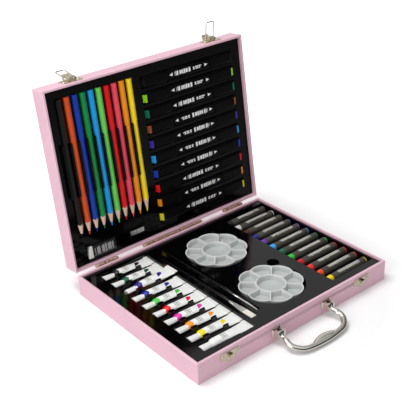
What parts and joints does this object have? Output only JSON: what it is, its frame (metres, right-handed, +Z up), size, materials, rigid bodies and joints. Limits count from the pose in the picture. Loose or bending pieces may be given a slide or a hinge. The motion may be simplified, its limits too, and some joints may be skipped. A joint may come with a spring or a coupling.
{
  "type": "art set case",
  "caption": "Shallow hinged wooden case held open, with pencils, markers, eraser and sharpener in the lid and paint tubes, brushes, palettes and oil pastels in the base.",
  "frame": {"origin": "centre of the underside of the base", "axes": "+X to the right along the hinge line, +Y from the handle toward the hinge, +Z up"},
  "size_m": [0.304, 0.344, 0.2836],
  "materials": {
    "wood_frame": "satin paint",
    "wood_panel": "satin paint",
    "black_tray": "satin black",
    "hinge_brass": "worn",
    "nickel": "bright plate",
    "palette_clear": "translucent",
    "black_lacquer": "gloss",
    "white_bristle": "soft",
    "pastel_paper": "matte paper",
    "eraser_white": "matte",
    "sharpener_metal": "brushed",
    "marker_black": "satin",
    "tube_white": "satin",
    "pencil_black": "gloss lacquer",
    "pencil_orange": "gloss lacquer",
    "pencil_blue": "gloss lacquer",
    "pencil_green": "gloss lacquer",
    "pencil_sky": "gloss lacquer",
    "pencil_lime": "gloss lacquer",
    "pencil_red": "gloss lacquer",
    "pencil_coral": "gloss lacquer",
    "pencil_amber": "gloss lacquer",
    "pencil_yellow": "gloss lacquer"
  },
  "bodies": {
    "base": {"base_frame": "wood_frame", "base_bottom_panel": "wood_panel", "base_tray": "black_tray", "hinge_base_leaves": "hinge_brass", "hinge_pins": "hinge_brass", "hinge_base_screws": "hinge_brass", "catch_plates": "nickel", "catch_rivets": "nickel", "handle_posts": "nickel"},
    "lid": {"lid_frame": "wood_frame", "lid_top_panel": "wood_panel", "lid_tray": "black_tray", "hinge_lid_leaves": "hinge_brass", "hinge_lid_screws": "hinge_brass", "latch_plates": "nickel", "latch_rivets": "nickel"},
    "handle": {"handle": "nickel"},
    "left_lever": {"left_latch_lever": "nickel"},
    "left_loop": {"left_latch_loop": "nickel"},
    "right_lever": {"right_latch_lever": "nickel"},
    "right_loop": {"right_latch_loop": "nickel"},
    "pencil_black_out": {"pencil_black": "pencil_black"},
    "pencil_orange_out": {"pencil_orange": "pencil_orange"},
    "pencil_blue_out": {"pencil_blue": "pencil_blue"},
    "pencil_green_out": {"pencil_green": "pencil_green"},
    "pencil_sky_out": {"pencil_sky": "pencil_sky"},
    "pencil_lime_out": {"pencil_lime": "pencil_lime"},
    "pencil_red_out": {"pencil_red": "pencil_red"},
    "pencil_coral_out": {"pencil_coral": "pencil_coral"},
    "pencil_amber_out": {"pencil_amber": "pencil_amber"},
    "pencil_yellow_out": {"pencil_yellow": "pencil_yellow"},
    "marker_black_out": {"marker_black": "marker_black"},
    "marker_lime_out": {"marker_lime": "marker_black"},
    "marker_green_out": {"marker_green": "marker_black"},
    "marker_brown_out": {"marker_brown": "marker_black"},
    "marker_violet_out": {"marker_violet": "marker_black"},
    "marker_sky_out": {"marker_sky": "marker_black"},
    "marker_blue_out": {"marker_blue": "marker_black"},
    "marker_red_out": {"marker_red": "marker_black"},
    "marker_orange_out": {"marker_orange": "marker_black"},
    "marker_yellow_out": {"marker_yellow": "marker_black"},
    "eraser_out": {"eraser": "eraser_white"},
    "sharpener_out": {"sharpener": "sharpener_metal"},
    "tube_black_out": {"tube_black": "tube_white"},
    "tube_green_out": {"tube_green": "tube_white"},
    "tube_violet_out": {"tube_violet": "tube_white"},
    "tube_blue_out": {"tube_blue": "tube_white"},
    "tube_lime_out": {"tube_lime": "tube_white"},
    "tube_red_out": {"tube_red": "tube_white"},
    "tube_magenta_out": {"tube_magenta": "tube_white"},
    "tube_orange_out": {"tube_orange": "tube_white"},
    "tube_yellow_out": {"tube_yellow": "tube_white"},
    "tube_white_out": {"tube_white": "tube_white"},
    "oil_pastels_out": {"oil_pastels": "pastel_paper"},
    "back_palette_out": {"back_palette": "palette_clear"},
    "front_palette_out": {"front_palette": "palette_clear"},
    "flat_brush_out": {"flat_brush": "black_lacquer", "flat_brush_bristles": "white_bristle"},
    "round_brush_out": {"round_brush": "black_lacquer", "round_brush_bristles": "white_bristle"}
  },
  "joints": [
    {"name": "lid_hinge", "type": "hinge", "parent": "base", "child": "lid", "pos_m": [0, 0.118, 0.0272], "axis": [-1, 0, 0], "range_deg": [-97.5, 0]},
    {"name": "handle_swing", "type": "hinge", "parent": "base", "child": "handle", "pos_m": [0.003, -0.1215, 0.0135], "axis": [-1, 0, 0], "range_deg": [0, 100]},
    {"name": "left_lever_swing", "type": "hinge", "parent": "lid", "child": "left_lever", "pos_m": [-0.107, 0.15658, 0.26127], "axis": [1, 0, 0], "range_deg": [0, 90]},
    {"name": "left_loop_swing", "type": "hinge", "parent": "left_lever", "child": "left_loop", "pos_m": [-0.107, 0.16104, 0.26068], "axis": [-1, 0, 0], "range_deg": [-168.88, 10]},
    {"name": "right_lever_swing", "type": "hinge", "parent": "lid", "child": "right_lever", "pos_m": [0.107, 0.15658, 0.26127], "axis": [1, 0, 0], "range_deg": [0, 90]},
    {"name": "right_loop_swing", "type": "hinge", "parent": "right_lever", "child": "right_loop", "pos_m": [0.107, 0.16104, 0.26068], "axis": [-1, 0, 0], "range_deg": [-81.88, 97]},
    {"name": "pencil_black_out_lift", "type": "slide", "parent": "lid", "child": "pencil_black_out", "axis": [0, -0.9914, 0.1305], "range_m": [0, 0.012]},
    {"name": "pencil_orange_out_lift", "type": "slide", "parent": "lid", "child": "pencil_orange_out", "axis": [0, -0.9914, 0.1305], "range_m": [0, 0.012]},
    {"name": "pencil_blue_out_lift", "type": "slide", "parent": "lid", "child": "pencil_blue_out", "axis": [0, -0.9914, 0.1305], "range_m": [0, 0.012]},
    {"name": "pencil_green_out_lift", "type": "slide", "parent": "lid", "child": "pencil_green_out", "axis": [0, -0.9914, 0.1305], "range_m": [0, 0.012]},
    {"name": "pencil_sky_out_lift", "type": "slide", "parent": "lid", "child": "pencil_sky_out", "axis": [0, -0.9914, 0.1305], "range_m": [0, 0.012]},
    {"name": "pencil_lime_out_lift", "type": "slide", "parent": "lid", "child": "pencil_lime_out", "axis": [0, -0.9914, 0.1305], "range_m": [0, 0.012]},
    {"name": "pencil_red_out_lift", "type": "slide", "parent": "lid", "child": "pencil_red_out", "axis": [0, -0.9914, 0.1305], "range_m": [0, 0.012]},
    {"name": "pencil_coral_out_lift", "type": "slide", "parent": "lid", "child": "pencil_coral_out", "axis": [0, -0.9914, 0.1305], "range_m": [0, 0.012]},
    {"name": "pencil_amber_out_lift", "type": "slide", "parent": "lid", "child": "pencil_amber_out", "axis": [0, -0.9914, 0.1305], "range_m": [0, 0.012]},
    {"name": "pencil_yellow_out_lift", "type": "slide", "parent": "lid", "child": "pencil_yellow_out", "axis": [0, -0.9914, 0.1305], "range_m": [0, 0.012]},
    {"name": "marker_black_out_lift", "type": "slide", "parent": "lid", "child": "marker_black_out", "axis": [0, -0.9914, 0.1305], "range_m": [0, 0.012]},
    {"name": "marker_lime_out_lift", "type": "slide", "parent": "lid", "child": "marker_lime_out", "axis": [0, -0.9914, 0.1305], "range_m": [0, 0.012]},
    {"name": "marker_green_out_lift", "type": "slide", "parent": "lid", "child": "marker_green_out", "axis": [0, -0.9914, 0.1305], "range_m": [0, 0.012]},
    {"name": "marker_brown_out_lift", "type": "slide", "parent": "lid", "child": "marker_brown_out", "axis": [0, -0.9914, 0.1305], "range_m": [0, 0.012]},
    {"name": "marker_violet_out_lift", "type": "slide", "parent": "lid", "child": "marker_violet_out", "axis": [0, -0.9914, 0.1305], "range_m": [0, 0.012]},
    {"name": "marker_sky_out_lift", "type": "slide", "parent": "lid", "child": "marker_sky_out", "axis": [0, -0.9914, 0.1305], "range_m": [0, 0.012]},
    {"name": "marker_blue_out_lift", "type": "slide", "parent": "lid", "child": "marker_blue_out", "axis": [0, -0.9914, 0.1305], "range_m": [0, 0.012]},
    {"name": "marker_red_out_lift", "type": "slide", "parent": "lid", "child": "marker_red_out", "axis": [0, -0.9914, 0.1305], "range_m": [0, 0.012]},
    {"name": "marker_orange_out_lift", "type": "slide", "parent": "lid", "child": "marker_orange_out", "axis": [0, -0.9914, 0.1305], "range_m": [0, 0.012]},
    {"name": "marker_yellow_out_lift", "type": "slide", "parent": "lid", "child": "marker_yellow_out", "axis": [0, -0.9914, 0.1305], "range_m": [0, 0.012]},
    {"name": "eraser_out_lift", "type": "slide", "parent": "lid", "child": "eraser_out", "axis": [0, -0.9914, 0.1305], "range_m": [0, 0.012]},
    {"name": "sharpener_out_lift", "type": "slide", "parent": "lid", "child": "sharpener_out", "axis": [0, -0.9914, 0.1305], "range_m": [0, 0.012]},
    {"name": "tube_black_out_lift", "type": "slide", "parent": "base", "child": "tube_black_out", "axis": [0, 0, 1], "range_m": [0, 0.014]},
    {"name": "tube_green_out_lift", "type": "slide", "parent": "base", "child": "tube_green_out", "axis": [0, 0, 1], "range_m": [0, 0.014]},
    {"name": "tube_violet_out_lift", "type": "slide", "parent": "base", "child": "tube_violet_out", "axis": [0, 0, 1], "range_m": [0, 0.014]},
    {"name": "tube_blue_out_lift", "type": "slide", "parent": "base", "child": "tube_blue_out", "axis": [0, 0, 1], "range_m": [0, 0.014]},
    {"name": "tube_lime_out_lift", "type": "slide", "parent": "base", "child": "tube_lime_out", "axis": [0, 0, 1], "range_m": [0, 0.014]},
    {"name": "tube_red_out_lift", "type": "slide", "parent": "base", "child": "tube_red_out", "axis": [0, 0, 1], "range_m": [0, 0.014]},
    {"name": "tube_magenta_out_lift", "type": "slide", "parent": "base", "child": "tube_magenta_out", "axis": [0, 0, 1], "range_m": [0, 0.014]},
    {"name": "tube_orange_out_lift", "type": "slide", "parent": "base", "child": "tube_orange_out", "axis": [0, 0, 1], "range_m": [0, 0.014]},
    {"name": "tube_yellow_out_lift", "type": "slide", "parent": "base", "child": "tube_yellow_out", "axis": [0, 0, 1], "range_m": [0, 0.014]},
    {"name": "tube_white_out_lift", "type": "slide", "parent": "base", "child": "tube_white_out", "axis": [0, 0, 1], "range_m": [0, 0.014]},
    {"name": "oil_pastels_out_lift", "type": "slide", "parent": "base", "child": "oil_pastels_out", "axis": [0, 0, 1], "range_m": [0, 0.014]},
    {"name": "back_palette_out_lift", "type": "slide", "parent": "base", "child": "back_palette_out", "axis": [0, 0, 1], "range_m": [0, 0.014]},
    {"name": "front_palette_out_lift", "type": "slide", "parent": "base", "child": "front_palette_out", "axis": [0, 0, 1], "range_m": [0, 0.014]},
    {"name": "flat_brush_out_lift", "type": "slide", "parent": "base", "child": "flat_brush_out", "axis": [0, 0, 1], "range_m": [0, 0.014]},
    {"name": "round_brush_out_lift", "type": "slide", "parent": "base", "child": "round_brush_out", "axis": [0, 0, 1], "range_m": [0, 0.014]}
  ]
}
